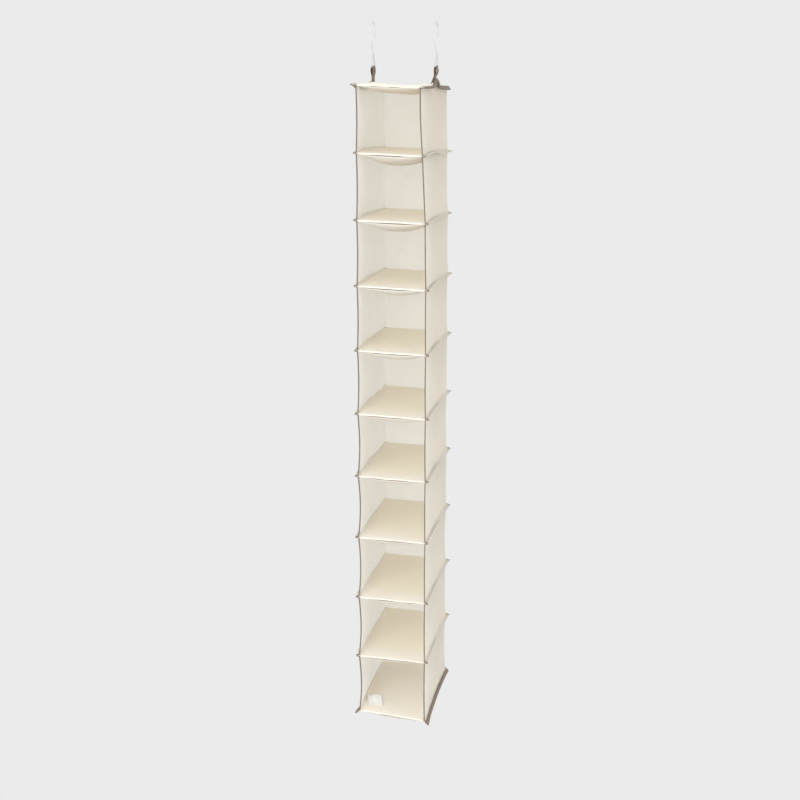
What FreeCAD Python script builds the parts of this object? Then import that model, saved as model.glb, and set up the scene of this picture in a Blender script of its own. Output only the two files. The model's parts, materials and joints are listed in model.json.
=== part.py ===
"""Hanging shoe organizer: ten open-front fabric bays below two wire hooks on a closet rod.

Millimetres, +Z up, +X to the right and the open front towards -Y. The origin lies on the axis of
the closet rod, midway between the two hooks. Each level (the top panel, nine shelves and the
bottom panel) is a sewn pocket: a top fabric with a turned rim, a stiff board, and a loose lining
that hangs below the board. A wrap of fabric walls closes the left, the back and the right of each
bay, and a folded binding covers each front edge of the wrap.
"""
import FreeCAD, Part
import math
import os

# Driving dimensions
WIDTH = 146.0  # over the side walls
DEPTH = 305.0  # front edge to back wall
BAYS = 10
PITCH = 137.3  # from one level to the next
TOP_LEVEL = -114.3  # middle of the top panel below the rod's axis
ROD_DIAMETER = 35.0  # largest closet rod that the hooks take

FABRIC = 0.8  # thickness of the wall fabric and of the pocket fabric
BOARD = 2.8
PANEL = BOARD + 2 * FABRIC
SEAM_WIDTH = 9.0  # how far a level's side seam stands out of the walls
SEAM_THICKNESS = 1.6
SEWN_GAP = 0.3  # between pieces that move apart
FIT_GAP = 0.1  # around a board in its pocket
TOP_SAG = 14.0  # how far the top panel's lining hangs down
SHELF_SAG = 25.0  # the same for the shelves and the bottom panel
BELLY_WIDTH_SHARE = 0.45  # share of a lining's width that its lowest part takes
BELLY_DEPTH_SHARE = 0.60

HOOK_WIRE = 2.8
CROOK_RADIUS = 20.5  # wire centre line
CROOK_TIP_ANGLE = -30.0  # degrees, behind the rod
SHANK_CORNER_Z = -25.0  # where the straight shank turns in towards the eye
EYE_APEX_Z = -44.0
EYE_BAR_Z = -74.0
EYE_BAR_HALF = 19.0
EYE_CORNER_RADIUS = 3.0
SHANK_RADIUS = 10.0
APEX_RADIUS = 12.0
EYE_END_GAP = 3.2  # from the eye's apex to the cut end of the wire

STRAP_WIDTH = 25.0
STRAP_TAPE = 1.0
STRAP_CLEARANCE = 0.06  # round the eye bar
STRAP_BULGE_HALF = 2.35  # half of the loop's widest opening
STRAP_BULGE_DROP = 8.0
STRAP_LOOP_LENGTH = 23.0
STRAP_INSET = 5.0  # strap's middle, inside the side wall's outer face

BINDING_FOLD = 1.0  # thickness of the folded front binding on each side of a wall
BINDING_WIDTH = 6.0
SEAM_BINDING = 0.9  # thickness of the tape round the top and bottom side seams
SEAM_BINDING_OVERHANG = 1.0

RIM_SIDE = 3.0
RIM_FRONT = 18.0  # the board stops short of the front edge
LABEL_SIZE = (32.0, 38.0, 0.5)
LABEL_CORNER = (9.0, 32.0)  # from the left wall and from the front edge

HALF_WIDTH = WIDTH / 2
HALF_DEPTH = DEPTH / 2
TRAY_HALF = HALF_WIDTH - FABRIC - BINDING_FOLD - SEWN_GAP
TRAY_BACK = HALF_DEPTH - FABRIC - SEWN_GAP
STRAP_X = HALF_WIDTH - STRAP_INSET
SIDES = {"left": -1, "right": 1}


def level_z(level):
    """Middle of a level's panel. Level 0 is the top panel and level BAYS the bottom panel."""
    return TOP_LEVEL - level * PITCH


def level_name(level):
    if level == 0:
        return "top_panel"
    if level == BAYS:
        return "bottom_panel"
    return f"shelf_{level:02d}"


def block(low, high):
    """Box between two opposite corners."""
    size = [b - a for a, b in zip(low, high)]
    return Part.makeBox(*size, FreeCAD.Vector(*low))


def mirrored_block(side, low, high):
    """Box given for the right side, or its mirror image on the left."""
    if side > 0:
        return block(low, high)
    return block((-high[0], low[1], low[2]), (-low[0], high[1], high[2]))


def rectangle(half_x, front, back, z):
    corners = [(-half_x, front), (half_x, front), (half_x, back), (-half_x, back)]
    points = [FreeCAD.Vector(x, y, z) for x, y in corners]
    return Part.makePolygon(points + points[:1])


def rounded_run(points, radii):
    """Straight runs through points in the YZ plane, joined by tangent arcs of the given radii."""
    places = [FreeCAD.Vector(0, y, z) for y, z in points]
    edges = []
    start = places[0]
    for before, corner, after, radius in zip(places, places[1:], places[2:], radii):
        inward = (before - corner).normalize()
        outward = (after - corner).normalize()
        half_turn = (math.pi - inward.getAngle(outward)) / 2
        reach = radius * math.tan(half_turn)
        middle = (inward + outward).normalize()
        to_arc = radius / math.cos(half_turn) - radius
        arc_start = corner + inward * reach
        arc_end = corner + outward * reach
        edges.append(Part.makeLine(start, arc_start))
        edges.append(Part.Arc(arc_start, corner + middle * to_arc, arc_end).toShape())
        start = arc_end
    edges.append(Part.makeLine(start, places[-1]))
    return edges


def make_hook():
    """Wire hook in the YZ plane: a crook over the rod, a shank in front of it and a closed eye."""
    wire_radius = HOOK_WIRE / 2
    crook_z = ROD_DIAMETER / 2 + wire_radius - CROOK_RADIUS
    tip_angle = math.radians(CROOK_TIP_ANGLE)
    tip = (CROOK_RADIUS * math.cos(tip_angle), crook_z + CROOK_RADIUS * math.sin(tip_angle))
    front = (-CROOK_RADIUS, crook_z)
    apex = (0.0, EYE_APEX_Z)
    leg = math.hypot(EYE_BAR_HALF, EYE_BAR_Z - EYE_APEX_Z)
    end_share = EYE_END_GAP / leg
    wire_end = (-EYE_BAR_HALF * end_share, EYE_APEX_Z + (EYE_BAR_Z - EYE_APEX_Z) * end_share)
    crook = Part.Arc(
        FreeCAD.Vector(0, *tip),
        FreeCAD.Vector(0, 0, crook_z + CROOK_RADIUS),
        FreeCAD.Vector(0, *front),
    ).toShape()
    run = rounded_run(
        [
            front,
            (-CROOK_RADIUS, SHANK_CORNER_Z),
            apex,
            (EYE_BAR_HALF, EYE_BAR_Z),
            (-EYE_BAR_HALF, EYE_BAR_Z),
            wire_end,
        ],
        [SHANK_RADIUS, APEX_RADIUS, EYE_CORNER_RADIUS, EYE_CORNER_RADIUS],
    )
    path = Part.Wire([crook] + run)
    along = FreeCAD.Vector(0, math.sin(tip_angle), -math.cos(tip_angle))
    section = Part.Wire(Part.makeCircle(wire_radius, FreeCAD.Vector(0, *tip), along))
    return path.makePipeShell([section], True, False)


def make_strap():
    """Tape loop that hangs from the eye bar, with its two tails together on the panel's edge."""
    bar_radius = HOOK_WIRE / 2 + STRAP_CLEARANCE
    bottom = TOP_LEVEL + PANEL / 2
    bulge_z = EYE_BAR_Z - STRAP_BULGE_DROP
    meet_z = EYE_BAR_Z - STRAP_LOOP_LENGTH

    def outline(top_radius, bulge_half, tail):
        """Face of the loop's profile, down to a tail on each side or to a single tip."""
        right = [(top_radius, EYE_BAR_Z), (bulge_half, bulge_z)] + tail
        tip = [] if tail else [(0.0, meet_z)]
        left = [(-x, z) for x, z in reversed(right)]
        points = [FreeCAD.Vector(x, 0, z) for x, z in right + tip + left]
        crown = FreeCAD.Vector(0, 0, EYE_BAR_Z + top_radius)
        runs = [Part.makeLine(a, b) for a, b in zip(points, points[1:])]
        arc = Part.Arc(points[-1], crown, points[0]).toShape()
        return Part.Face(Part.Wire([arc] + runs))

    tails = [(STRAP_TAPE, meet_z), (STRAP_TAPE, bottom)]
    outer = outline(bar_radius + STRAP_TAPE, STRAP_BULGE_HALF + STRAP_TAPE, tails)
    inner = outline(bar_radius, STRAP_BULGE_HALF, [])
    across = FreeCAD.Vector(0, STRAP_WIDTH, 0)
    strap = outer.extrude(across).cut(inner.extrude(across))
    strap.translate(FreeCAD.Vector(0, -STRAP_WIDTH / 2, 0))
    return strap


def make_panel_fabric(level):
    """Upper fabric of a level: a flat top with a turned-down rim, and the side and back seams."""
    z = level_z(level)
    top = z + PANEL / 2
    rim_bottom = z - PANEL / 2 + FABRIC
    tray = block((-TRAY_HALF, -HALF_DEPTH, rim_bottom), (TRAY_HALF, TRAY_BACK, top))
    pocket = block(
        (-TRAY_HALF + RIM_SIDE, -HALF_DEPTH + RIM_FRONT, rim_bottom),
        (TRAY_HALF - RIM_SIDE, TRAY_BACK - RIM_SIDE, top - FABRIC),
    )
    seam_low, seam_high = z - SEAM_THICKNESS / 2, z + SEAM_THICKNESS / 2
    outer = HALF_WIDTH + SEAM_WIDTH
    fabric = tray.cut(pocket)
    for side in SIDES.values():
        fabric = fabric.fuse(
            mirrored_block(side, (TRAY_HALF, -HALF_DEPTH, seam_low), (outer, HALF_DEPTH, seam_high))
        )
    back_seam = block((-TRAY_HALF, TRAY_BACK, seam_low), (TRAY_HALF, HALF_DEPTH, seam_high))
    return fabric.fuse(back_seam).removeSplitter()


def make_board(level):
    """Stiff board in the level's pocket, short of the front edge."""
    top = level_z(level) + PANEL / 2 - FABRIC
    inset = RIM_SIDE + FIT_GAP
    return block(
        (-TRAY_HALF + inset, -HALF_DEPTH + RIM_FRONT + FIT_GAP, top - BOARD),
        (TRAY_HALF - inset, TRAY_BACK - inset, top),
    )


def make_lining(level):
    """Loose lower fabric of a level, sewn round the rim and hanging down in the middle."""
    sag = TOP_SAG if level == 0 else SHELF_SAG
    low = level_z(level) - PANEL / 2
    top = low + FABRIC
    hang_half = TRAY_HALF - 2 * FABRIC
    hang_front = -HALF_DEPTH + 2 * FABRIC
    hang_back = TRAY_BACK - 2 * FABRIC
    belly_half = BELLY_WIDTH_SHARE * TRAY_HALF
    belly_run = BELLY_DEPTH_SHARE * HALF_DEPTH
    flange = block((-TRAY_HALF, -HALF_DEPTH, low), (TRAY_HALF, TRAY_BACK, top))

    def belly(shrink, upper, lower):
        rim = rectangle(hang_half - shrink, hang_front + shrink, hang_back - shrink, upper)
        middle = rectangle(belly_half - shrink, -belly_run + shrink, belly_run - shrink, lower)
        return Part.makeLoft([rim, middle], True, True)

    outside = flange.fuse(belly(0.0, low, low - sag))
    mouth = rectangle(hang_half - FABRIC, hang_front + FABRIC, hang_back - FABRIC, low)
    opening = Part.Face(mouth).extrude(FreeCAD.Vector(0, 0, FABRIC))
    inside = belly(FABRIC, low, low - sag + FABRIC).fuse(opening)
    return outside.cut(inside).removeSplitter()


def make_wall_wrap(bay):
    """Left wall, back wall and right wall of a bay, in one wrap that is open at the front."""
    top = level_z(bay - 1) - SEAM_THICKNESS / 2
    bottom = level_z(bay) + SEAM_THICKNESS / 2 + SEWN_GAP
    outside = block((-HALF_WIDTH, -HALF_DEPTH, bottom), (HALF_WIDTH, HALF_DEPTH, top))
    inside = block(
        (-HALF_WIDTH + FABRIC, -HALF_DEPTH, bottom), (HALF_WIDTH - FABRIC, HALF_DEPTH - FABRIC, top)
    )
    return outside.cut(inside)


def make_front_bindings(bay):
    """Two folded tapes over the front edges of a bay's walls."""
    top = level_z(bay - 1) - SEAM_THICKNESS / 2
    bottom = level_z(bay) + SEAM_THICKNESS / 2 + SEWN_GAP
    tapes = []
    for side in SIDES.values():
        tape = mirrored_block(
            side,
            (HALF_WIDTH - FABRIC - BINDING_FOLD, -HALF_DEPTH - BINDING_FOLD, bottom),
            (HALF_WIDTH + BINDING_FOLD, -HALF_DEPTH + BINDING_WIDTH, top),
        )
        wall = mirrored_block(
            side,
            (HALF_WIDTH - FABRIC, -HALF_DEPTH, bottom),
            (HALF_WIDTH, -HALF_DEPTH + BINDING_WIDTH, top),
        )
        tapes.append(tape.cut(wall))
    return Part.makeCompound(tapes)


def make_side_bindings(level):
    """Two tapes folded round the side seams of the top or the bottom panel."""
    z = level_z(level)
    half = SEAM_THICKNESS / 2
    inner = HALF_WIDTH + BINDING_FOLD + SEWN_GAP
    tapes = []
    for side in SIDES.values():
        tape = mirrored_block(
            side,
            (inner, -HALF_DEPTH - SEAM_BINDING, z - half - SEAM_BINDING),
            (
                HALF_WIDTH + SEAM_WIDTH + SEAM_BINDING,
                HALF_DEPTH + SEAM_BINDING_OVERHANG,
                z + half + SEAM_BINDING,
            ),
        )
        seam = mirrored_block(
            side,
            (inner, -HALF_DEPTH, z - half),
            (HALF_WIDTH + SEAM_WIDTH, HALF_DEPTH, z + half),
        )
        tapes.append(tape.cut(seam))
    return Part.makeCompound(tapes)


def make_label():
    """Blank sewn-in label that lies on the bottom panel."""
    low = (-HALF_WIDTH + LABEL_CORNER[0], -HALF_DEPTH + LABEL_CORNER[1], level_z(BAYS) + PANEL / 2)
    high = tuple(a + b for a, b in zip(low, LABEL_SIZE))
    return block(low, high)


def build():
    """Every sub-part by node name."""
    nodes = {}
    for name, side in SIDES.items():
        hook = make_hook()
        hook.translate(FreeCAD.Vector(side * STRAP_X, 0, 0))
        nodes[f"{name}_hook"] = hook
        strap = make_strap()
        strap.translate(FreeCAD.Vector(side * STRAP_X, 0, 0))
        nodes[f"{name}_hanging_strap"] = strap
    nodes["top_side_bindings"] = make_side_bindings(0)
    nodes["bottom_side_bindings"] = make_side_bindings(BAYS)
    nodes["care_label"] = make_label()
    for level in range(BAYS + 1):
        nodes[f"{level_name(level)}_fabric"] = make_panel_fabric(level)
        nodes[f"{level_name(level)}_board"] = make_board(level)
        nodes[f"{level_name(level)}_lining"] = make_lining(level)
    for bay in range(1, BAYS + 1):
        nodes[f"bay_{bay:02d}_wall_wrap"] = make_wall_wrap(bay)
        nodes[f"bay_{bay:02d}_front_bindings"] = make_front_bindings(bay)
    return nodes


os.makedirs("parts", exist_ok=True)
for node, shape in build().items():
    if not shape.isValid():
        raise ValueError(f"{node} isn't a valid shape")
    shape.exportStep(f"parts/{node}.step")
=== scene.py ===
"""Looks of the hanging shoe organizer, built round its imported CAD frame. Metres, +Z up."""

import json
import math
import random

import bpy
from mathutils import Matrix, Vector, noise


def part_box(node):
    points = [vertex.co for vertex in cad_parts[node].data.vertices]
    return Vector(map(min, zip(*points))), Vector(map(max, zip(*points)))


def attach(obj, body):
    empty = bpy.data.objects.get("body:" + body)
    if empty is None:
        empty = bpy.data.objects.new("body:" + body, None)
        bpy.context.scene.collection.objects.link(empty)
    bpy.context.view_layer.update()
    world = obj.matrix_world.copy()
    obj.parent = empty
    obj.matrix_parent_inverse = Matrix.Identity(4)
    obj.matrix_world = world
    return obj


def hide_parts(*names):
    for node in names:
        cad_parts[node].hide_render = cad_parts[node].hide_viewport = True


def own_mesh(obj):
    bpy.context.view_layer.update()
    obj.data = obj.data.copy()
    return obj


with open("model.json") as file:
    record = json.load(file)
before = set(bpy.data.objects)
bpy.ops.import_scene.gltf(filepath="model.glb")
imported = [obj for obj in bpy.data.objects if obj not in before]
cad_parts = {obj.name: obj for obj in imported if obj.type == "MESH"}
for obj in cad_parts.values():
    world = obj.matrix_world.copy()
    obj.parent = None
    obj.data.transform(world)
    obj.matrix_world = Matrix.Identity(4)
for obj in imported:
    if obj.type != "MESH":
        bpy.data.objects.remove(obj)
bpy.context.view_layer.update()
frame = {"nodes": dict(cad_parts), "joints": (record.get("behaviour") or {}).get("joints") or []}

MM = 0.001
BAYS = 10
SIDES = {"left": -1, "right": 1}


def level_name(level):
    """Start of the names of a level's pieces. Level 0 is the top panel."""
    if level == 0:
        return "top_panel"
    if level == BAYS:
        return "bottom_panel"
    return f"shelf_{level:02d}"


def level_body(level):
    """Name of the rigid body that a level's pieces ride on."""
    if level == 0:
        return "top"
    if level == BAYS:
        return "bottom"
    return f"shelf_{level}"


# Places read from the CAD nodes
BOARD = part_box("top_panel_board")
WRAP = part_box("bay_01_wall_wrap")
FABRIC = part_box("top_panel_fabric")
WALL_X = WRAP[1].x
FRONT_Y = WRAP[0].y
BACK_Y = WRAP[1].y
SEAM_X = FABRIC[1].x
TRAY_X = BOARD[1].x + 3 * MM
BOARD_X = BOARD[1].x
BOARD_FRONT = BOARD[0].y
BOARD_BACK = BOARD[1].y
LEVEL_Z = [
    sum(corner.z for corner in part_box(f"{level_name(k)}_board")) / 2 for k in range(BAYS + 1)
]
PITCH = LEVEL_Z[0] - LEVEL_Z[1]

# How the cloth hangs
TILT = 0.037  # the right side hangs lower by this share of the width
CORNER_PULL = 13 * MM  # the front right corner of the top is drawn inwards
CORNER_PULL_BACK = 0.3  # share of that pull at the back corner
CORNER_PULL_DROP = 0.2
STRAP_LIFT = 9 * MM  # the straps lift the top side seams into a low peak
STRAP_LIFT_FLAT = 8 * MM
STRAP_LIFT_RUN = 22 * MM
STRAP_DRAW = 4 * MM  # and draw them inwards
STRAP_DRAW_RUN = 30 * MM
STRAP_TURN = math.radians(-60)  # and the right one stands its seam up
BACK_LIFT = 5 * MM  # the top side seams stay higher behind the straps
SHELF_LIFT = 6 * MM  # the walls lift the middle of the shelves' side seams
BOTTOM_LIFT = 11 * MM
BOTTOM_DIP = 2 * MM  # the bottom side seams dip at their front ends
TOP_FOLD = math.radians(55)  # the side seams fold down along the walls by these angles
SHELF_FOLD = math.radians(68)
BOTTOM_FRONT_FOLD = math.radians(32)
BOTTOM_FOLD = {-1: math.radians(68), 1: math.radians(45)}
SHORT_EAR = 0.7  # the shelves' seams stand out less at the front
BOTTOM_ROLL = 8 * MM  # the left side of the bottom hangs higher
CLOTH = 0.6 * MM
TAPE = 0.45 * MM


def smooth(value, low, high):
    """Smooth step from 0 at low to 1 at high."""
    share = min(max((value - low) / (high - low), 0.0), 1.0)
    return share * share * (3 - 2 * share)


def mix(a, b, share):
    """a where share is 0 and b where it is 1."""
    return a + (b - a) * share


def seam_lift(level, y):
    """Height that a level's side seams gain from the pull of the straps and the walls."""
    if level == 0:
        past = max(abs(y) - STRAP_LIFT_FLAT, 0.0)
        return STRAP_LIFT * math.exp(-past / STRAP_LIFT_RUN) + BACK_LIFT * smooth(y, -10 * MM, 40 * MM)
    share = 1 - (y / BACK_Y) ** 2
    if level == BAYS:
        return BOTTOM_LIFT * share - BOTTOM_DIP * smooth(-y, 0.1, BACK_Y)
    return SHELF_LIFT * share


def seam_turn(level, side, y):
    """Angle by which a side seam folds down along the wall."""
    if level == 0:
        if side < 0:
            return TOP_FOLD * smooth(y, FRONT_Y + 12 * MM, FRONT_Y + 57 * MM)
        folded = TOP_FOLD * smooth(y, 0.0, 45 * MM)
        return mix(STRAP_TURN, folded, smooth(abs(y), 3 * MM, 18 * MM))
    if level == BAYS:
        return mix(BOTTOM_FRONT_FOLD, BOTTOM_FOLD[side], smooth(y, FRONT_Y, FRONT_Y + 35 * MM))
    folded = smooth(y, -60 * MM, 60 * MM) * (1 - 0.8 * smooth(y, BACK_Y - 50 * MM, BACK_Y))
    return SHELF_FOLD * folded


def fold_seam(x, y, z):
    """A point of a side seam, turned down round the wall's edge."""
    past = abs(x) - WALL_X
    if past <= 0:
        return x, z
    level = min(max(round((LEVEL_Z[0] - z) / PITCH), 0), BAYS)
    side = math.copysign(1, x)
    if 0 < level < BAYS:
        past *= mix(SHORT_EAR, 1.0, smooth(y, FRONT_Y, FRONT_Y + 25 * MM))
    root = LEVEL_Z[level] + seam_lift(level, y)
    above = z - root
    share = smooth(past, 0, 3 * MM) * (1 - smooth(abs(above), 5 * MM, 13 * MM))
    turn = seam_turn(level, side, y) * share
    out = past * math.cos(turn) + above * math.sin(turn)
    up = above * math.cos(turn) - past * math.sin(turn)
    return side * (WALL_X + out), root + up


def strap_draw(x, y, drop):
    """How far a strap draws the cloth inwards."""
    near = math.exp(-((y / STRAP_DRAW_RUN) ** 2) - (drop / STRAP_DRAW_RUN) ** 2)
    return math.copysign(STRAP_DRAW, x) * near * smooth(abs(x), 40 * MM, WALL_X)


def settle(point, amount=1.0, fold=True):
    """A point of the cloth, moved by the slight unevenness with which the organizer hangs."""
    x, y, z = point
    drop = max(LEVEL_Z[0] - z, 0.0)
    if fold:
        x, z = fold_seam(x, y, z)
        x -= strap_draw(x, y, drop)
    forward = min(max((BACK_Y - y) / (BACK_Y - FRONT_Y), 0.0), 1.0)
    pull = CORNER_PULL * mix(CORNER_PULL_BACK, 1.0, forward)
    pull *= math.exp(-((drop / CORNER_PULL_DROP) ** 2)) * smooth(x, -0.02, WALL_X)
    lowest = smooth(drop, (BAYS - 0.9) * PITCH, (BAYS - 0.04) * PITCH)
    roll = BOTTOM_ROLL * (WALL_X - x) / (2 * WALL_X) * lowest
    return Vector((x - amount * pull, y, z + roll - amount * TILT * x))


# ---------------------------------------------------------------- materials


class Nodes:
    """Short way to build a material's node tree."""

    def __init__(self, name):
        self.material = bpy.data.materials.new(name)
        self.material.use_nodes = True
        self.tree = self.material.node_tree
        self.shader = self.tree.nodes["Principled BSDF"]
        self.output = self.tree.nodes["Material Output"]

    def add(self, kind, inputs=None, **settings):
        node = self.tree.nodes.new(kind)
        for key, value in settings.items():
            setattr(node, key, value)
        for key, value in (inputs or {}).items():
            self.feed(node.inputs[key], value)
        return node

    def feed(self, socket, value):
        if isinstance(value, bpy.types.NodeSocket):
            self.tree.links.new(value, socket)
        else:
            socket.default_value = value

    def math(self, operation, *values):
        node = self.add("ShaderNodeMath", operation=operation)
        for socket, value in zip(node.inputs, values):
            self.feed(socket, value)
        return node.outputs[0]

    def noise(self, place, scale, detail=2.0, roughness=0.5):
        inputs = {"Vector": place, "Scale": scale, "Detail": detail, "Roughness": roughness}
        return self.add("ShaderNodeTexNoise", inputs).outputs["Fac"]

    def blend(self, share, a, b):
        """Colour a where share is 0 and colour b where it is 1."""
        node = self.add("ShaderNodeMix", data_type="RGBA")
        self.feed(node.inputs["Factor"], share)
        self.feed(node.inputs[6], a)
        self.feed(node.inputs[7], b)
        return node.outputs[2]

    def ramp(self, value, low, high):
        inputs = {"Value": value, "From Min": low, "From Max": high}
        return self.add("ShaderNodeMapRange", inputs).outputs["Result"]

    def let_through(self, share, colour):
        """Lets a share of the light pass through the thin cloth, scattered."""
        through = self.add("ShaderNodeBsdfTranslucent", {"Color": colour})
        both = self.add("ShaderNodeMixShader", {0: share})
        self.feed(both.inputs[1], self.shader.outputs["BSDF"])
        self.feed(both.inputs[2], through.outputs["BSDF"])
        self.feed(self.output.inputs["Surface"], both.outputs["Shader"])

    def place(self):
        return self.add("ShaderNodeTexCoord").outputs["Object"]

    def bump(self, height, strength, distance):
        inputs = {"Height": height, "Strength": strength, "Distance": distance}
        return self.add("ShaderNodeBump", inputs).outputs["Normal"]


def rgb(red, green, blue):
    """Linear colour from 8-bit screen values."""
    channels = []
    for value in (red, green, blue):
        share = value / 255
        channels.append(share / 12.92 if share <= 0.04045 else ((share + 0.055) / 1.055) ** 2.4)
    return (*channels, 1.0)


def weave(nodes, place, pitch):
    """Height of a plain weave whose threads run along the object's axes."""
    split = nodes.add("ShaderNodeSeparateXYZ", {"Vector": place})
    turns = 2 * math.pi / pitch
    waves = []
    for axis in "XYZ":
        along = nodes.math("MULTIPLY", split.outputs[axis], turns)
        waves.append(nodes.math("SINE", along))
    return nodes.math("ADD", nodes.math("MULTIPLY", waves[0], waves[1]), waves[2])


def cloth_material(name, colour, shade, translucent, pitch=0.9 * MM, tint=None):
    """Thin woven cloth: thread relief, slubs, faint blotches and light that passes through it.

    tint is the colour that a board behind the cloth gives it, where the mesh's tint is 1. The mesh's
    tint also carries painted light and shade: less on the lit front strips and lower shelves, full under
    the top panel.
    """
    nodes = Nodes(name)
    place = nodes.place()
    stretch = nodes.add("ShaderNodeMapping", {"Vector": place, "Scale": (1.0, 1.0, 0.12)})
    slubs = nodes.noise(stretch.outputs["Vector"], 900.0, 3.0, 0.6)
    blotches = nodes.noise(place, 14.0, 3.0, 0.55)
    patch = nodes.math("ADD", nodes.math("MULTIPLY", blotches, 0.7), nodes.math("MULTIPLY", slubs, 0.3))
    base = nodes.blend(nodes.ramp(patch, 0.3, 0.7), colour, shade)
    if tint is not None:
        mask = nodes.add("ShaderNodeAttribute", attribute_name="tint").outputs["Fac"]
        cloudy = nodes.math("ADD", nodes.math("MULTIPLY", blotches, 0.3), 0.8)
        uneven = nodes.math("MULTIPLY", mask, cloudy)
        base = nodes.blend(uneven, base, tint)
    threads = weave(nodes, place, pitch)
    relief = nodes.math("ADD", nodes.math("MULTIPLY", threads, 0.5), slubs)
    normal = nodes.bump(relief, 0.35, 0.15 * MM)
    rough = nodes.math("MULTIPLY", nodes.ramp(slubs, 0.2, 0.8), 0.12)
    nodes.feed(nodes.shader.inputs["Base Color"], base)
    nodes.feed(nodes.shader.inputs["Roughness"], nodes.math("ADD", rough, 0.82))
    nodes.feed(nodes.shader.inputs["Normal"], normal)
    nodes.shader.inputs["Specular IOR Level"].default_value = 0.2
    nodes.shader.inputs["Sheen Weight"].default_value = 0.25
    nodes.shader.inputs["Sheen Roughness"].default_value = 0.6
    nodes.let_through(translucent, base)
    return nodes.material


def tape_material(name, colour, shade):
    """Flat cotton tape: fine diagonal ribs with uneven faded patches, lighter on the ridges and darker
    in the hollows as painted shade.
    """
    nodes = Nodes(name)
    place = nodes.place()
    turn = nodes.add("ShaderNodeMapping", {"Vector": place, "Rotation": (0.7, 0.6, 0.78)})
    wave = {"Vector": turn.outputs["Vector"], "Scale": 330.0, "Distortion": 1.5, "Detail": 1.0}
    ribs = nodes.add("ShaderNodeTexWave", wave).outputs["Fac"]
    fade = nodes.noise(place, 60.0, 3.0, 0.6)
    fuzz = nodes.noise(place, 2400.0, 2.0, 0.7)
    # The ribs set the colour as well as the relief: their hollows are darker, a painted shade.
    share = nodes.math("ADD", nodes.math("MULTIPLY", fade, 0.6), nodes.math("MULTIPLY", ribs, 0.4))
    base = nodes.blend(nodes.ramp(share, 0.25, 0.75), shade, colour)
    relief = nodes.math("ADD", nodes.math("MULTIPLY", ribs, 0.8), nodes.math("MULTIPLY", fuzz, 0.4))
    rough = nodes.math("MULTIPLY", fuzz, 0.15)
    nodes.feed(nodes.shader.inputs["Base Color"], base)
    nodes.feed(nodes.shader.inputs["Roughness"], nodes.math("ADD", rough, 0.78))
    nodes.feed(nodes.shader.inputs["Normal"], nodes.bump(relief, 0.5, 0.2 * MM))
    nodes.shader.inputs["Specular IOR Level"].default_value = 0.25
    nodes.shader.inputs["Sheen Weight"].default_value = 0.2
    nodes.let_through(0.4, base)
    return nodes.material


def thread_material(name, colour):
    """Twisted sewing thread, whose twist grooves are darker as painted shade."""
    nodes = Nodes(name)
    place = nodes.place()
    wave = {"Vector": place, "Scale": 1400.0, "Distortion": 2.0}
    twist = nodes.add("ShaderNodeTexWave", wave).outputs["Fac"]
    # The twist's grooves take the darker colour: painted shade.
    dark = tuple(0.75 * value for value in colour[:3]) + (1.0,)
    nodes.feed(nodes.shader.inputs["Base Color"], nodes.blend(twist, dark, colour))
    nodes.feed(nodes.shader.inputs["Normal"], nodes.bump(twist, 0.4, 0.05 * MM))
    nodes.shader.inputs["Roughness"].default_value = 0.6
    nodes.shader.inputs["Sheen Weight"].default_value = 0.15
    return nodes.material


def wire_material(name):
    """White coated steel wire with a slightly uneven coat."""
    nodes = Nodes(name)
    place = nodes.place()
    coat = nodes.noise(place, 350.0, 3.0, 0.5)
    dust = nodes.noise(place, 45.0, 4.0, 0.6)
    base = nodes.blend(nodes.ramp(dust, 0.35, 0.8), rgb(206, 206, 205), rgb(186, 186, 185))
    rough = nodes.math("MULTIPLY", coat, 0.2)
    nodes.feed(nodes.shader.inputs["Base Color"], base)
    nodes.feed(nodes.shader.inputs["Roughness"], nodes.math("ADD", rough, 0.25))
    nodes.feed(nodes.shader.inputs["Normal"], nodes.bump(coat, 0.25, 0.05 * MM))
    nodes.shader.inputs["Coat Weight"].default_value = 0.1
    nodes.shader.inputs["Coat Roughness"].default_value = 0.25
    return nodes.material


def board_material(name):
    """Pressed brown board with short pale fibres."""
    nodes = Nodes(name)
    place = nodes.place()
    fibres = nodes.noise(place, 700.0, 4.0, 0.7)
    cloud = nodes.noise(place, 30.0, 3.0, 0.5)
    share = nodes.math("ADD", nodes.math("MULTIPLY", fibres, 0.6), nodes.math("MULTIPLY", cloud, 0.4))
    base = nodes.blend(nodes.ramp(share, 0.3, 0.7), rgb(176, 141, 98), rgb(205, 173, 129))
    nodes.feed(nodes.shader.inputs["Base Color"], base)
    nodes.feed(nodes.shader.inputs["Normal"], nodes.bump(fibres, 0.4, 0.1 * MM))
    nodes.shader.inputs["Roughness"].default_value = 0.9
    return nodes.material


def glowing_material(name, colour):
    """Evenly lit studio surface."""
    nodes = Nodes(name)
    glow = nodes.add("ShaderNodeEmission", {"Color": colour, "Strength": 1.0})
    nodes.feed(nodes.output.inputs["Surface"], glow.outputs["Emission"])
    return nodes.material


CREAM = rgb(245, 243, 239)
CREAM_SHADE = rgb(241, 239, 234)
TAN = rgb(254, 245, 224)
WALL_CLOTH = cloth_material("wall_cloth", CREAM, CREAM_SHADE, 0.72)
SHELF_CLOTH = cloth_material("shelf_cloth", rgb(252, 246, 234), rgb(250, 243, 229), 0.05, tint=TAN)
LINING_CLOTH = cloth_material("lining_cloth", rgb(250, 246, 238), rgb(247, 242, 232), 0.4, tint=TAN)
BINDING_TAPE = tape_material("binding_tape", rgb(168, 152, 136), rgb(146, 131, 116))
THREAD = thread_material("cream_thread", rgb(238, 230, 212))
BROWN_THREAD = thread_material("brown_thread", rgb(150, 128, 110))
WIRE = wire_material("coated_wire")
CARDBOARD = board_material("brown_board")
LABEL_CLOTH = cloth_material("label_satin", rgb(254, 254, 253), rgb(248, 248, 247), 0.05, pitch=0.5 * MM)


# ---------------------------------------------------------------- mesh building


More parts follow.
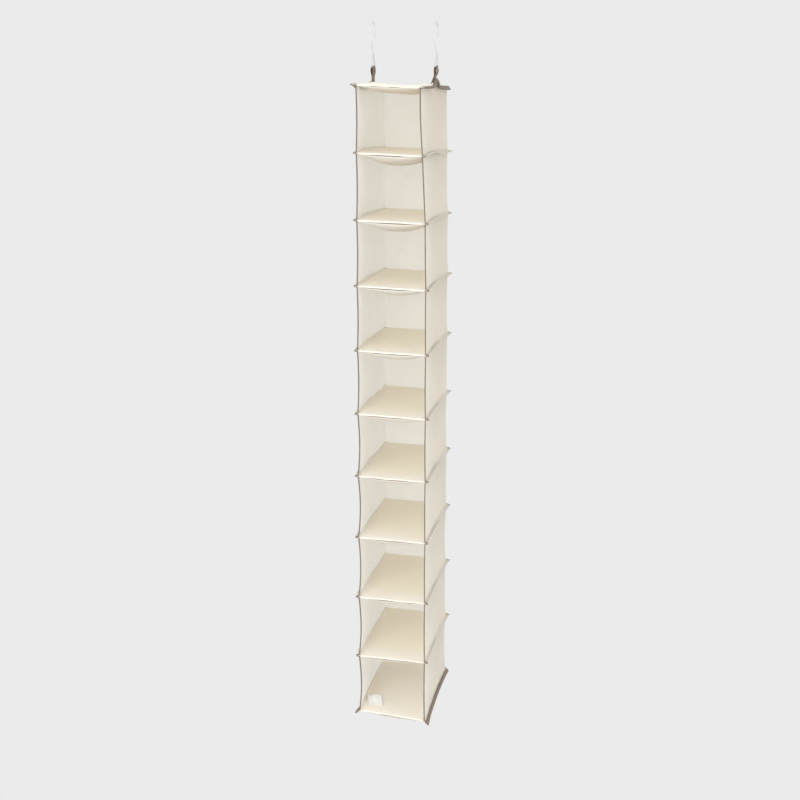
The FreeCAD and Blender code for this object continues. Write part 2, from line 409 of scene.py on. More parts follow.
def mesh_object(name, points, faces, materials, tints=None):
    """Smooth-shaded mesh. tints gives each point its share of the board's colour, which also carries
    painted light and shade.
    """
    mesh = bpy.data.meshes.new(name)
    mesh.from_pydata([tuple(p) for p in points], [], faces)
    mesh.validate()
    for polygon in mesh.polygons:
        polygon.use_smooth = True
    if tints is not None:
        layer = mesh.attributes.new("tint", "FLOAT", "POINT")
        layer.data.foreach_set("value", tints)
    for material in materials:
        mesh.materials.append(material)
    made = bpy.data.objects.new(name, mesh)
    bpy.context.scene.collection.objects.link(made)
    return made


def grid_faces(rows, columns, first=0, closed=False):
    """Quads of a grid of points, row by row. A closed grid joins each row's end to its start."""
    faces = []
    last = columns if closed else columns - 1
    for row in range(rows - 1):
        for column in range(last):
            after = (column + 1) % columns
            a = first + row * columns + column
            b = first + row * columns + after
            faces.append((a, b, b + columns, a + columns))
    return faces


def thicken(piece, thickness, offset=0.0):
    """Gives a sheet its thickness, so that it is a closed solid."""
    modifier = piece.modifiers.new("thickness", "SOLIDIFY")
    modifier.thickness = thickness
    modifier.offset = offset
    return piece


def sheet_object(name, rows, material, thickness, offset=0.0, tints=None):
    """Sheet of cloth through rows of points."""
    columns = len(rows[0])
    points = [p for row in rows for p in row]
    faces = grid_faces(len(rows), columns)
    return thicken(mesh_object(name, points, faces, [material], tints), thickness, offset)


STITCH_LENGTH = 2.6 * MM
STITCH_GAP = 1.0 * MM
STITCH_RADIUS = 0.22 * MM
STITCH_SIDES = 5
STITCH_RINGS = (  # place along the stitch, size and rise, as shares of its length and radius
    (-0.5, 0.35, -0.3),
    (-0.3, 1.0, 0.5),
    (0.3, 1.0, 0.5),
    (0.5, 0.35, -0.3),
)


def stitch_rows(path, out):
    """Points and faces of a row of stitches along a path. out is the way that they stand proud."""
    points = []
    faces = []
    lengths = [(b - a).length for a, b in zip(path, path[1:])]
    total = sum(lengths)
    count = int(total / (STITCH_LENGTH + STITCH_GAP))

    def at(distance):
        for index, length in enumerate(lengths):
            if distance <= length or index == len(lengths) - 1:
                share = distance / max(length, 1e-9)
                return path[index].lerp(path[index + 1], share), path[index + 1] - path[index]
            distance -= length

    for number in range(count):
        middle = (number + 0.5) * total / count
        rings = []
        for share, size, rise in STITCH_RINGS:
            centre, along = at(middle + share * STITCH_LENGTH)
            along.normalize()
            up = (out - along * out.dot(along)).normalized()
            across = along.cross(up)
            centre = centre + up * rise * STITCH_RADIUS
            rings.append((centre, up, across, size * STITCH_RADIUS))
        first = len(points)
        for centre, up, across, radius in rings:
            for side in range(STITCH_SIDES):
                turn = 2 * math.pi * side / STITCH_SIDES
                points.append(centre + (up * math.cos(turn) + across * math.sin(turn)) * radius)
        faces += grid_faces(len(rings), STITCH_SIDES, first, closed=True)
        last = first + (len(rings) - 1) * STITCH_SIDES
        faces.append(tuple(first + side for side in reversed(range(STITCH_SIDES))))
        faces.append(tuple(last + side for side in range(STITCH_SIDES)))
    return points, faces


def stitches(name, runs, material):
    """One object with the stitches of several runs, each a path and its outward way."""
    points = []
    faces = []
    for path, out in runs:
        more_points, more_faces = stitch_rows(path, out)
        faces += [tuple(index + len(points) for index in face) for face in more_faces]
        points += more_points
    return mesh_object(name, points, faces, [material])


# ---------------------------------------------------------------- side and back walls

CORNER_RADIUS = 6 * MM
WALL_STEP = 4 * MM
WALL_ROWS = 34
FLARE_ROWS = 5
FLARE_RADIUS = 2.5 * MM
FRONT_FLARE_RADIUS = 3.0 * MM
SEAM_HALF = 0.35 * MM
MIDDLE_BOW = 1.5 * MM


def wrap_plan():
    """Points and outward ways of a wrap's outline from above, from the left front to the right."""
    plan = []
    side_run = BACK_Y - CORNER_RADIUS - FRONT_Y
    back_run = 2 * (WALL_X - CORNER_RADIUS)
    side_steps = round(side_run / WALL_STEP)
    back_steps = round(back_run / WALL_STEP)
    arc_steps = 5
    for step in range(side_steps):
        plan.append((Vector((-WALL_X, FRONT_Y + side_run * step / side_steps, 0)), Vector((-1, 0, 0))))
    for step in range(arc_steps):
        turn = math.pi - math.pi / 2 * step / arc_steps
        out = Vector((math.cos(turn), math.sin(turn), 0))
        centre = Vector((-WALL_X + CORNER_RADIUS, BACK_Y - CORNER_RADIUS, 0))
        plan.append((centre + out * CORNER_RADIUS, out))
    for step in range(back_steps // 2):
        x = -back_run / 2 + back_run * step / back_steps
        plan.append((Vector((x, BACK_Y, 0)), Vector((0, 1, 0))))
    mirrored = [(Vector((-p.x, p.y, 0)), Vector((-out.x, out.y, 0))) for p, out in reversed(plan)]
    return plan + [(Vector((0, BACK_Y, 0)), Vector((0, 1, 0)))] + mirrored


def ridge(u, v, start, end, bend, width):
    """Height, from 0 to 1, of a crease that curves from start to end."""
    run = end - start
    share = ((u - start.x) * run.x + (v - start.y) * run.y) / run.length_squared
    if not 0 < share < 1:
        return 0.0
    aside = ((u - start.x) * -run.y + (v - start.y) * run.x) / run.length
    off = (aside - bend * 4 * share * (1 - share)) / width
    return math.exp(-off * off) * math.sin(math.pi * share)


def bay_creases(bay):
    """Creases of a bay's wrap: where each starts and ends, its bend, width and height."""
    chance = random.Random(40 + bay)
    side = BACK_Y - FRONT_Y
    total = 2 * side + 2 * WALL_X
    creases = []
    for low, high in ((0.0, side), (side, side + 2 * WALL_X), (side + 2 * WALL_X, total)):
        for _ in range(3):
            start = Vector((chance.uniform(low, high), chance.choice((0.02, 0.98)) * PITCH))
            reach = chance.uniform(0.04, 0.10)
            end = Vector((min(max(start.x + chance.choice((-1, 1)) * reach, low), high), 0.0))
            end.y = chance.uniform(0.25, 0.75) * PITCH
            height = chance.uniform(-1.2, 1.2) * MM
            bend = chance.uniform(-12, 12) * MM
            creases.append((start, end, bend, chance.uniform(3, 6) * MM, height))
    if bay in (2, 3):
        start = Vector((side + 12 * MM, 0.93 * PITCH))
        high_end = start + Vector((75 * MM, -0.58 * PITCH))
        low_end = start + Vector((55 * MM, -0.32 * PITCH))
        creases.append((start, high_end, -14 * MM, 3.5 * MM, 1.8 * MM))
        creases.append((start, low_end, -9 * MM, 3 * MM, -1.2 * MM))
    return creases


def edge_bow(bay, x):
    """How far a wall's front edge bows inwards. The left edges of the lower bays bow the most."""
    if x > 0:
        return 0.8 * MM
    return mix(1.5 * MM, 4 * MM, smooth(bay, 4, 7))


def wall_sink(run, drop, bay, creases, bow):
    """How far the wall lies inside its plan line, run metres round the wrap and drop metres down."""
    share = drop / PITCH
    hang = math.sin(math.pi * min(max(share, 0.0), 1.0))
    soft = noise.noise(Vector((run * 22, bay * 3.1, drop * 5))) * 1.5 * MM
    fold = noise.noise(Vector((run * 60, bay * 7.7, drop * 9))) * 0.7 * MM
    near_seam = math.exp(-min(drop, PITCH - drop) / (7 * MM))
    shift = 2 * noise.noise(Vector((run * 30, bay, 0)))
    pucker = math.sin(run * 2 * math.pi / (9 * MM) + shift) * 0.35 * MM
    crease = sum(height * ridge(run, drop, a, b, bend, width) for a, b, bend, width, height in creases)
    return bow * hang + (soft + fold + crease) * hang ** 0.5 + pucker * near_seam


def wall_profile(reach, radius):
    """Outward offset and drop of the flared top of a wall: seam allowance, bend, then wall."""
    profile = [(reach, 0.0), (mix(radius, reach, 0.5), 0.0)]
    for step in range(FLARE_ROWS + 1):
        turn = math.pi / 2 * step / FLARE_ROWS
        profile.append((radius * (1 - math.sin(turn)), radius * (1 - math.cos(turn))))
    return profile


def wall_column(bay, place, out, run, reach, radius, front, creases):
    """Points down one line of a bay's wall, from the upper seam's edge to the lower seam's edge."""
    upper = LEVEL_Z[bay - 1] - SEAM_HALF + seam_lift(bay - 1, place.y) * abs(out.x)
    lower = LEVEL_Z[bay] + SEAM_HALF + 0.5 * MM + seam_lift(bay, place.y) * abs(out.x)
    height = upper - lower
    bow = mix(MIDDLE_BOW, edge_bow(bay, place.x), front)
    flare = wall_profile(reach, radius)
    column = [(offset, upper - drop) for offset, drop in flare]
    for row in range(1, WALL_ROWS):
        share = row / WALL_ROWS
        drop = radius + (height - 2 * radius) * share
        column.append((-wall_sink(run, drop, bay, creases, bow), upper - drop))
    column += [(offset, lower + drop) for offset, drop in reversed(flare)]
    return [settle((place.x + out.x * o, place.y + out.y * o, z)) for o, z in column]


def make_wall_wrap(bay):
    """Left, back and right wall of a bay in one cloth, flared out into its seams."""
    plan = wrap_plan()
    creases = bay_creases(bay)
    columns = []
    run = 0.0
    for index, (place, out) in enumerate(plan):
        if index:
            run += (place - plan[index - 1][0]).length
        front = math.exp(-(place.y - FRONT_Y) / 0.05)
        sideways = smooth(abs(out.x), 0.5, 1.0)
        reach = mix(0.6 * MM, SEAM_X - WALL_X - 0.4 * MM, sideways)
        radius = min(mix(FLARE_RADIUS, FRONT_FLARE_RADIUS, front), reach * 0.6)
        columns.append(wall_column(bay, place, out, run, reach, radius, front, creases))
    rows = [list(row) for row in zip(*columns)]
    piece = sheet_object(f"bay_{bay:02d}_walls", rows, WALL_CLOTH, CLOTH)
    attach(piece, level_body(bay - 1))
    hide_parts(f"bay_{bay:02d}_wall_wrap")
    squash_to_level(piece)
    return piece


def squash_to_level(piece):
    """Gives a piece of a bay its own copy of its mesh."""
    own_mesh(piece)


# ---------------------------------------------------------------- bindings

BINDING_LEG = 5 * MM
BINDING_HALF = 0.75 * MM
BINDING_SEAM = 3.4 * MM  # stitch line's distance from the wall's edge
SIDE_LEG = 8.5 * MM
SIDE_SEAM = 6.5 * MM
SIDE_HALF = {0: 1.9 * MM, BAYS: 2.2 * MM}
SIDE_STEPS = 76
TIP_LEG = 6 * MM
TIP_HALF = 1.5 * MM
TIP_STEPS = 8


def front_edge_path(bay, side):
    """Line of a wall's front edge, seam edge to seam edge, before it settles."""
    place = Vector((side * WALL_X, FRONT_Y, 0))
    out = Vector((side, 0, 0))
    reach = SEAM_X - WALL_X + 0.8 * MM
    upper = LEVEL_Z[bay - 1] - SEAM_HALF - BINDING_HALF + seam_lift(bay - 1, FRONT_Y)
    lower = LEVEL_Z[bay] + SEAM_HALF + BINDING_HALF + seam_lift(bay, FRONT_Y)
    flare = wall_profile(reach, FRONT_FLARE_RADIUS)
    height = upper - lower
    column = [(offset, upper - drop) for offset, drop in flare]
    rows = 30
    for row in range(1, rows):
        share = row / rows
        drop = FRONT_FLARE_RADIUS + (height - 2 * FRONT_FLARE_RADIUS) * share
        column.append((-edge_bow(bay, side) * math.sin(math.pi * drop / height), upper - drop))
    column += [(offset, lower + drop) for offset, drop in reversed(flare)]
    return [Vector((place.x + out.x * o, place.y, z)) for o, z in column]


def fold_profile(half, leg, steps=6):
    """Tape folded over an edge: (aside, back) points from one leg's end round to the other's."""
    profile = [(-half, leg), (-half * 1.05, leg * 0.66), (-half, leg * 0.33)]
    for step in range(steps + 1):
        turn = math.pi * step / steps
        profile.append((-half * math.cos(turn), half - half * math.sin(turn)))
    profile += [(half, leg * 0.33), (half * 1.05, leg * 0.66), (half, leg)]
    return profile


def swept_tape(name, path, across, back, half, leg, amount=1.0):
    """Tape folded over the edge that runs along path. across gives each point's sideways way."""
    rows = []
    last = len(path) - 1
    for index, point in enumerate(path):
        near_end = min(index, last - index) / 5
        width = half * mix(0.45, 1.0, min(near_end, 1.0))
        wave = 1 + 0.04 * noise.noise(point * 300)
        profile = fold_profile(width, leg * wave)
        rows.append([settle(point + across[index] * a + back * (b - half), amount) for a, b in profile])
    return sheet_object(name, rows, BINDING_TAPE, TAPE)


def path_sides(path, back):
    """Sideways way at each point of a path, square to the path and to back."""
    sides = []
    for index in range(len(path)):
        ahead = path[min(index + 1, len(path) - 1)] - path[max(index - 1, 0)]
        sides.append(ahead.cross(back).normalized())
    return sides


def join(name, parts):
    """Several mesh objects made into one, with their modifiers applied first."""
    bpy.ops.object.select_all(action="DESELECT")
    for part in parts:
        bpy.context.view_layer.objects.active = part
        part.select_set(True)
        for modifier in list(part.modifiers):
            bpy.ops.object.modifier_apply(modifier=modifier.name)
    bpy.context.view_layer.objects.active = parts[0]
    bpy.ops.object.join()
    parts[0].name = name
    parts[0].data.name = name
    return parts[0]


def make_front_bindings(bay):
    """Tapes folded round the front edges of a bay's two side walls."""
    back = Vector((0, 1, 0))
    tapes = []
    runs = []
    for name, side in SIDES.items():
        path = front_edge_path(bay, side)
        across = path_sides(path, back)
        tapes.append(swept_tape(f"tape_{name}", path, across, back, BINDING_HALF, BINDING_LEG))
        for face in (-1, 1):
            lift = BINDING_HALF + TAPE * 0.5
            seam = [settle(p + s * lift * face + back * BINDING_SEAM) for p, s in zip(path, across)]
            runs.append((seam[3:-3], across[len(path) // 2] * face))
    threads = stitches("threads", runs, BROWN_THREAD)
    piece = join(f"bay_{bay:02d}_edge_tapes", tapes + [threads])
    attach(piece, level_body(bay - 1))
    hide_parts(f"bay_{bay:02d}_front_bindings")
    squash_to_level(piece)
    return piece


def make_side_bindings(level):
    """Tapes folded round the side seams of the top or the bottom panel."""
    z = LEVEL_Z[level]
    half = SIDE_HALF[level]
    tapes = []
    runs = []
    for name, side in SIDES.items():
        inward = Vector((-side, 0, 0))
        path = []
        for step in range(SIDE_STEPS + 1):
            y = mix(FRONT_Y - 0.5 * MM, BACK_Y + 0.5 * MM, step / SIDE_STEPS)
            path.append(Vector((side * (SEAM_X + 0.8 * MM), y, z + seam_lift(level, y))))
        across = [Vector((0, 0, 1))] * len(path)
        tapes.append(swept_tape(f"tape_{name}", path, across, inward, half, SIDE_LEG))
        for face in (-1, 1):
            lift = Vector((0, 0, face * (half + TAPE * 0.5)))
            seam = [settle(p + lift + inward * SIDE_SEAM) for p in path]
            runs.append((seam, Vector((0, 0, face))))
    threads = stitches("threads", runs, BROWN_THREAD)
    piece = join(f"{level_body(level)}_side_tapes", tapes + [threads])
    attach(piece, level_body(level))
    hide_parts("top_side_bindings" if level == 0 else "bottom_side_bindings")
    return piece


def make_seam_tips(level):
    """Short tape ends folded over the back ends of a shelf's side seams."""
    tapes = []
    for name, side in SIDES.items():
        forward = Vector((0, -1, 0))
        z = LEVEL_Z[level] + seam_lift(level, BACK_Y)
        path = [
            Vector((side * mix(WALL_X - 1 * MM, SEAM_X, step / TIP_STEPS), BACK_Y + 0.8 * MM, z))
            for step in range(TIP_STEPS + 1)
        ]
        across = [Vector((0, 0, 1))] * len(path)
        tapes.append(swept_tape(f"tape_{name}", path, across, forward, TIP_HALF, TIP_LEG))
    piece = join(f"{level_name(level)}_seam_tips", tapes)
    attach(piece, level_body(level))
    return piece


# ---------------------------------------------------------------- shelves and panels

CLOTH_TOP = 1.9 * MM  # cloth's middle above the board's middle
FRONT_ROLL = [  # the front hem from under the shelf up and round: (back from the front, height)
    (6.0 * MM, -1.5 * MM),
    (3.0 * MM, -1.8 * MM),
    (1.2 * MM, -1.7 * MM),
    (0.3 * MM, -1.2 * MM),
    (0.0 * MM, -0.4 * MM),
    (0.3 * MM, 0.4 * MM),
    (1.2 * MM, 0.9 * MM),
    (3.0 * MM, 1.1 * MM),
]
HEM_SEAM = 6.5 * MM  # stitch line's distance from the front edge
SHELF_DROOP = 1.2 * MM  # the front hem hangs below the board
BOTTOM_PAINTED_LIT_TINT = 0.0  # the bottom panel gets no board tint and is paler than the shelves, as painted light
BOARD_CORNER = 3 * MM


def spaced(low, high, step):
    """Even places from low to high, about a step apart."""
    count = max(round((high - low) / step), 1)
    return [mix(low, high, index / count) for index in range(count + 1)]


def painted_lit_front(level):
    """Depth of a shelf's pale front strip, painted light that the lower shelves show more of, for light
    from the front reaching deeper into the lower bays.
    """
    return (20 + 5 * max(level - 3, 0)) * MM


def shelf_height(level, x, y):
    """Height of a shelf's upper cloth over the board's middle."""
    past_side = smooth(abs(x), BOARD_X - 1 * MM, WALL_X - 0.5 * MM)
    past_back = smooth(y, BOARD_BACK - 1 * MM, BACK_Y - 0.5 * MM)
    past_front = smooth(-y, -BOARD_FRONT - 3 * MM, -FRONT_Y)
    droop = SHELF_DROOP * past_front
    seam = max(past_side, past_back)
    ripple = noise.noise(Vector((x * 25, y * 18, level * 5.3))) * 0.35 * MM
    wave = noise.noise(Vector((x * 70, y * 20, level * 2.9))) * 0.6 * MM * past_front
    over = CLOTH_TOP + ripple + wave - droop
    if level == 0:
        over += 0.55 * STRAP_LIFT * smooth(abs(x), 0.01, BOARD_X) * math.exp(-abs(y) / 0.06)
    return mix(over, seam_lift(level, y) * smooth(abs(x), BOARD_X, WALL_X), seam)


def make_shelf_cloth(level):
    """Upper cloth of a shelf or panel, from its rolled front hem to its side and back seams."""
    z = LEVEL_Z[level]
    xs = spaced(-SEAM_X, -WALL_X, 3 * MM)[:-1] + spaced(-WALL_X, -BOARD_X, 1 * MM)[:-1]
    xs += spaced(-BOARD_X, BOARD_X, 5 * MM)[:-1] + spaced(BOARD_X, WALL_X, 1 * MM)[:-1]
    xs += spaced(WALL_X, SEAM_X, 3 * MM)
    ys = spaced(FRONT_Y + 5 * MM, BOARD_FRONT + 6 * MM, 2.5 * MM)[:-1]
    ys += spaced(BOARD_FRONT + 6 * MM, BOARD_BACK - 4 * MM, 6 * MM)[:-1]
    ys += spaced(BOARD_BACK - 4 * MM, BACK_Y - 0.3 * MM, 1.4 * MM)
    # The pale front strip is painted light: deeper on the lower shelves, where light from the front
    # reaches further in.
    painted_lit_line = FRONT_Y + painted_lit_front(level)
    # The board's tint fades on the lower shelves and is left off the bottom panel: painted light for the
    # brighter lower bays.
    strength = BOTTOM_PAINTED_LIT_TINT if level == BAYS else mix(1.0, 0.7, level / BAYS)
    hem_tint = 1.0 if level == 0 else 0.0
    rows = []
    tints = []
    for number, (back, height) in enumerate(FRONT_ROLL):
        row = []
        for x in xs:
            inside = 1 - smooth(abs(x), BOARD_X, WALL_X - 0.5 * MM)
            ripple = noise.noise(Vector((x * 45, level * 3.7, 0))) * 0.8 * MM
            lift = seam_lift(level, FRONT_Y) * (1 - inside)
            y = FRONT_Y + mix(4 * MM * number / len(FRONT_ROLL), back, inside)
            row.append(settle((x, y, z + (height + ripple) * inside + lift)))
            tints.append(hem_tint)
        rows.append(row)
    for y in ys:
        rows.append([settle((x, y, z + shelf_height(level, x, y))) for x in xs])
        for x in xs:
            over_side = 1 - smooth(abs(x), BOARD_X - 9 * MM, BOARD_X + 1 * MM)
            over_front = smooth(y, painted_lit_line - 14 * MM, painted_lit_line + 16 * MM)
            over_back = 1 - smooth(y, BOARD_BACK - 5 * MM, BOARD_BACK + 2 * MM)
            tints.append(strength * over_side * over_front * over_back)
    piece = sheet_object(f"{level_name(level)}_cloth", rows, SHELF_CLOTH, CLOTH, tints=tints)
    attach(piece, level_body(level))
    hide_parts(f"{level_name(level)}_fabric")
    return piece


def make_board(level):
    """Stiff board with worn corners, lying in its pocket at the shelf's slight slope."""
    low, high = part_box(f"{level_name(level)}_board")
    half_x = (high.x - low.x) / 2
    outline = []
    corners = ((1, high.y, 0), (-1, high.y, 90), (-1, low.y, 180), (1, low.y, 270))
    for x_way, y_end, first_turn in corners:
        centre_x = x_way * (half_x - BOARD_CORNER)
        centre_y = y_end - math.copysign(BOARD_CORNER, y_end)
        for step in range(5):
            turn = math.radians(first_turn + 22.5 * step)
            x = centre_x + BOARD_CORNER * math.cos(turn)
            y = centre_y + BOARD_CORNER * math.sin(turn)
            outline.append((x, y))
    tall = high.z - low.z
    bevel = 0.4 * MM
    rims = ((0.0, bevel), (bevel, 0.0), (tall - bevel, 0.0), (tall, bevel))
    points = []
    for height, inset in rims:
        shrink = 1 - inset / half_x
        points += [settle((x * shrink, y * shrink, low.z + height)) for x, y in outline]
    count = len(outline)
    faces = grid_faces(len(rims), count, closed=True)
    faces.append(tuple(reversed(range(count))))
    faces.append(tuple((len(rims) - 1) * count + index for index in range(count)))
    piece = mesh_object(f"{level_name(level)}_stiffener", points, faces, [CARDBOARD])
    for polygon in piece.data.polygons[-2:]:
        polygon.use_smooth = False
    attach(piece, level_body(level))
    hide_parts(f"{level_name(level)}_board")
    return piece


def make_shelf_stitches(level):
    """Topstitching along a shelf's front hem and round its seams."""
    z = LEVEL_Z[level]
    hem = []
    for x in spaced(-BOARD_X + 1 * MM, BOARD_X - 1 * MM, 3 * MM):
        y = FRONT_Y + HEM_SEAM
        hem.append(settle((x, y, z + shelf_height(level, x, y) + CLOTH * 0.5)))
    runs = [(hem, Vector((0, 0, 1)))]
    for side in SIDES.values():
        for face in (-1, 1):
            seam = []
            for y in spaced(FRONT_Y + 12 * MM, BACK_Y - 8 * MM, 4 * MM):
                x = side * (WALL_X + 4.2 * MM)
                height = seam_lift(level, y) + face * (SEAM_HALF + CLOTH * 0.6)
                seam.append(settle((x, y, z + height)))
            runs.append((seam, Vector((0, 0, face))))
    piece = stitches(f"{level_name(level)}_stitches", runs, THREAD)
    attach(piece, level_body(level))
    return piece


def lining_drop(level, x, y, sag):
    """How far the loose lower cloth hangs below its seam."""
    across = abs(x) / TRAY_X
    share = (y - FRONT_Y) / (BACK_Y - FRONT_Y)
    along = abs(2 * share ** 0.92 - 1)
    pouch = (1 - across ** 2.3) ** 0.85 * (1 - along ** 2.6) ** 0.8
    edge = math.exp(-min(TRAY_X - abs(x), y - FRONT_Y, BACK_Y - y) / (16 * MM))
    gather = math.sin((x * 1.3 + y) * 2 * math.pi / (17 * MM) + level) * 0.6 * MM * edge * (1 - edge)
    soft = noise.noise(Vector((x * 16, y * 10, level * 4.1))) * 2.2 * MM * pouch
    return sag * pouch + soft + gather


def make_lining(level):
    """Loose lower cloth of a shelf or panel, sagging below its board."""
    name = f"{level_name(level)}_lining"
    low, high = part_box(name)
    sag = high.z - low.z - 1 * MM
    z = LEVEL_Z[level] - 2.6 * MM
    # The top panel's pouch takes the full tint, the board behind it plus painted shade under the top
    # panel; the shelves' pouches take less.
    strength = 1.0 if level == 0 else 0.3
    xs = spaced(-TRAY_X, TRAY_X, 4 * MM)
    ys = spaced(FRONT_Y + 1.5 * MM, high.y, 5 * MM)
    rows = []
    tints = []
    for y in ys:
        row = []
        for x in xs:
            near_front = 1 - smooth(y, FRONT_Y + 1.5 * MM, FRONT_Y + 9 * MM)
            place = (x, y, z + 0.5 * MM * near_front - lining_drop(level, x, y, sag))
            row.append(settle(place))
            tints.append(strength * smooth(y, FRONT_Y, BOARD_FRONT + 10 * MM))
        rows.append(row)
    piece = sheet_object(f"{level_name(level)}_pouch", rows, LINING_CLOTH, CLOTH, tints=tints)
    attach(piece, level_body(level))
    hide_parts(name)
    if level < BAYS:
        squash_to_level(piece)
    return piece


# ---------------------------------------------------------------- straps, label and hooks


STRAP_BULGE = 2.9 * MM  # half the gap in the loop below the bar
STRAP_TAIL = 0.55 * MM  # half the gap between the tails


def frame_bar(name):
    """Middle of the straight bar of a hook's eye, which is its joint's place."""
    found = [joint for joint in frame["joints"] if joint["name"] == f"{name}_hook_pivot"]
    return Vector(found[0]["pos_m"])


def strap_loop(bar_z, radius, bottom):
    """Outline of a tape loop, (aside, height), from one tail's end over the bar to the other's."""
    bulge = bar_z - 8 * MM
    meet = bar_z - 23 * MM
    half_loop = []
    for step in range(7):
        turn = math.pi / 2 * step / 6
        half_loop.append((radius * math.sin(turn), bar_z + radius * math.cos(turn)))
    for share in (0.25, 0.5, 0.75, 1.0):
        aside = mix(radius, STRAP_BULGE, smooth(share, 0, 1))
        half_loop.append((aside, mix(bar_z, bulge, share)))
    for share in (0.2, 0.4, 0.6, 0.8, 1.0):
        aside = mix(STRAP_BULGE, STRAP_TAIL, smooth(share, 0, 1))
        half_loop.append((aside, mix(bulge, meet, share)))
    for share in (0.25, 0.5, 0.75, 1.0):
        half_loop.append((STRAP_TAIL, mix(meet, bottom, share)))
    return [(-x, z) for x, z in reversed(half_loop)] + half_loop[1:]


def make_strap(name, side):
    """Tape loop round the eye's bar, with both tails sewn to the top panel's edge."""
    low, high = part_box(f"{name}_hanging_strap")
    middle_x = (low.x + high.x) / 2
    bar = frame_bar(name)
    foot = {}
    for y in spaced(low.y, high.y, 2 * MM):
        foot[y] = LEVEL_Z[0] + shelf_height(0, middle_x, y) - CLOTH
    bottom = min(foot.values())
    rows = []
    for x, height in strap_loop(bar.z, high.z - bar.z - 0.5 * MM, bottom):
        row = []
        for y, end in foot.items():
            z = max(height, end)
            curl = 0.25 * MM * math.sin(y * 2 * math.pi / (16 * MM) + side)
            amount = 1 - smooth(z, bottom, bar.z - 10 * MM)
            row.append(settle((middle_x + x + curl * amount, y, z), amount, fold=False))
        rows.append(row)
    piece = sheet_object(f"{name}_strap", rows, BINDING_TAPE, 0.95 * MM)
    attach(piece, "top")
    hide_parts(f"{name}_hanging_strap")
    return piece


LABEL_TURN = 0.3


def make_label():
    """Blank satin label that lies loosely on the bottom panel."""
    low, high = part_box("care_label")
    middle = (low + high) / 2
    half = (high - low) / 2
    rows = []
    for v in spaced(-half.y, half.y, 1.5 * MM):
        row = []
        for u in spaced(-half.x, half.x, 1.5 * MM):
            x = middle.x + u * math.cos(LABEL_TURN) - v * math.sin(LABEL_TURN)
            y = middle.y + u * math.sin(LABEL_TURN) + v * math.cos(LABEL_TURN)
            along = (v + half.y) / (2 * half.y)
            crumple = 2 * noise.noise(Vector((u * 90, v * 60, 3.0))) + math.sin(u * 170 + v * 60)
            curl = (5 * along ** 2 + 1.4 * (crumple + 1.6) * along) * MM
            height = shelf_height(BAYS, x, y) + CLOTH * 0.5 + 0.5 * MM + curl
            row.append(settle((x, y, LEVEL_Z[BAYS] + height)))
        rows.append(row)
    label = sheet_object("label", rows, LABEL_CLOTH, 0.35 * MM)
    edge = [rows[1][index] + Vector((0, 0, 0.3 * MM)) for index in range(1, len(rows[1]) - 1)]
    piece = join("blank_label", [label, stitches("threads", [(edge, Vector((0, 0, 1)))], THREAD)])
    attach(piece, "bottom")
    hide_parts("care_label")
    foot = (middle.x, middle.y, LEVEL_Z[BAYS] + shelf_height(BAYS, middle.x, middle.y) + CLOTH)
    settle(foot)
    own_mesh(piece)
    return piece


def paint_hooks():
    """The hooks are the CAD nodes themselves, with a coated wire's finish."""
    for name in SIDES:
        node = frame["nodes"][f"{name}_hook"]
        node.data.materials.clear()
        node.data.materials.append(WIRE)


# ---------------------------------------------------------------- studio

CAMERA_PLACE = (0.557, -3.029, -0.121)
CAMERA_YAW = 0.185
CAMERA_PITCH = 0.216
CAMERA_LENS = 63.7
BACKDROP_RADIUS = 9.0
BACKDROP_CURVE = 3.0
BACKDROP_TOP = 4.0
BACKDROP_SIDES = 64
FLOOR_Z = -2.6
LIGHT_TARGET = (0, 0, -0.75)
LIGHTS = (  # name, place, size, power
    ("key", (-0.4, -4.1, 0.3), 3.0, 95),
    ("right", (3.8, -1.0, -2.0), 2.5, 60),
    ("left", (-3.8, -1.0, -2.0), 2.5, 34),
    ("back", (-0.6, 3.8, -2.0), 2.5, 48),
)


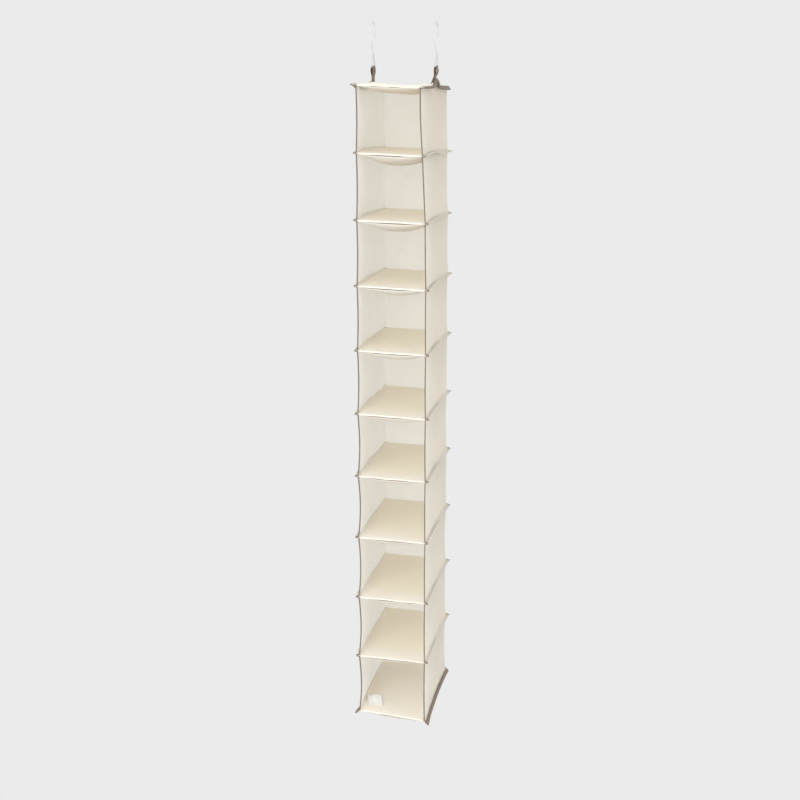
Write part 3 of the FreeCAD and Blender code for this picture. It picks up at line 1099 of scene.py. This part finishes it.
def make_backdrop():
    """Pale floor that curves up into a pale wall all round."""
    flat = BACKDROP_RADIUS - BACKDROP_CURVE
    profile = [(0.01, FLOOR_Z), (flat, FLOOR_Z)]
    for step in range(1, 13):
        turn = math.pi / 2 * step / 12
        out = BACKDROP_CURVE * math.sin(turn)
        up = BACKDROP_CURVE * (1 - math.cos(turn))
        profile.append((flat + out, FLOOR_Z + up))
    profile.append((BACKDROP_RADIUS, BACKDROP_TOP))
    points = []
    for radius, z in profile:
        for step in range(BACKDROP_SIDES):
            turn = 2 * math.pi * step / BACKDROP_SIDES
            points.append((radius * math.cos(turn), radius * math.sin(turn), z))
    faces = grid_faces(len(profile), BACKDROP_SIDES, closed=True)
    glow = glowing_material("studio_grey", rgb(235, 235, 235))
    backdrop = mesh_object("backdrop", points, faces, [glow])


def make_camera():
    """Camera at the photo's viewing angle."""
    camera = bpy.data.objects.new("camera", bpy.data.cameras.new("camera"))
    bpy.context.scene.collection.objects.link(camera)
    camera.data.lens = CAMERA_LENS
    camera.data.sensor_width = 36
    camera.data.clip_end = 60
    camera.location = CAMERA_PLACE
    camera.rotation_euler = (math.pi / 2 - CAMERA_PITCH, 0, CAMERA_YAW)
    bpy.context.scene.camera = camera


def make_light(name, place, size, power):
    """Round soft light that faces the organizer's middle."""
    light = bpy.data.lights.new(name, "AREA")
    light.shape = "DISK"
    light.size = size
    light.energy = power
    holder = bpy.data.objects.new(name, light)
    bpy.context.scene.collection.objects.link(holder)
    holder.location = place
    aim = Vector(LIGHT_TARGET) - Vector(place)
    holder.rotation_euler = aim.to_track_quat("-Z", "Y").to_euler()


def make_studio():
    """Backdrop, camera, even white surroundings and four soft lights."""
    make_backdrop()
    make_camera()
    world = bpy.data.worlds.new("studio")
    bpy.context.scene.world = world
    world.use_nodes = True
    background = world.node_tree.nodes["Background"]
    background.inputs["Color"].default_value = (1.0, 1.0, 1.0, 1.0)
    background.inputs["Strength"].default_value = 1.0
    bpy.context.scene.view_settings.view_transform = "Standard"
    for name, place, size, power in LIGHTS:
        make_light(name, place, size, power)


# ---------------------------------------------------------------- everything

make_studio()
paint_hooks()
for bay in range(1, BAYS + 1):
    make_wall_wrap(bay)
    make_front_bindings(bay)
for level in range(BAYS + 1):
    make_shelf_cloth(level)
    make_board(level)
    make_shelf_stitches(level)
    make_lining(level)
for level in range(1, BAYS):
    make_seam_tips(level)
for level in (0, BAYS):
    make_side_bindings(level)
for name, side in SIDES.items():
    make_strap(name, side)
make_label()
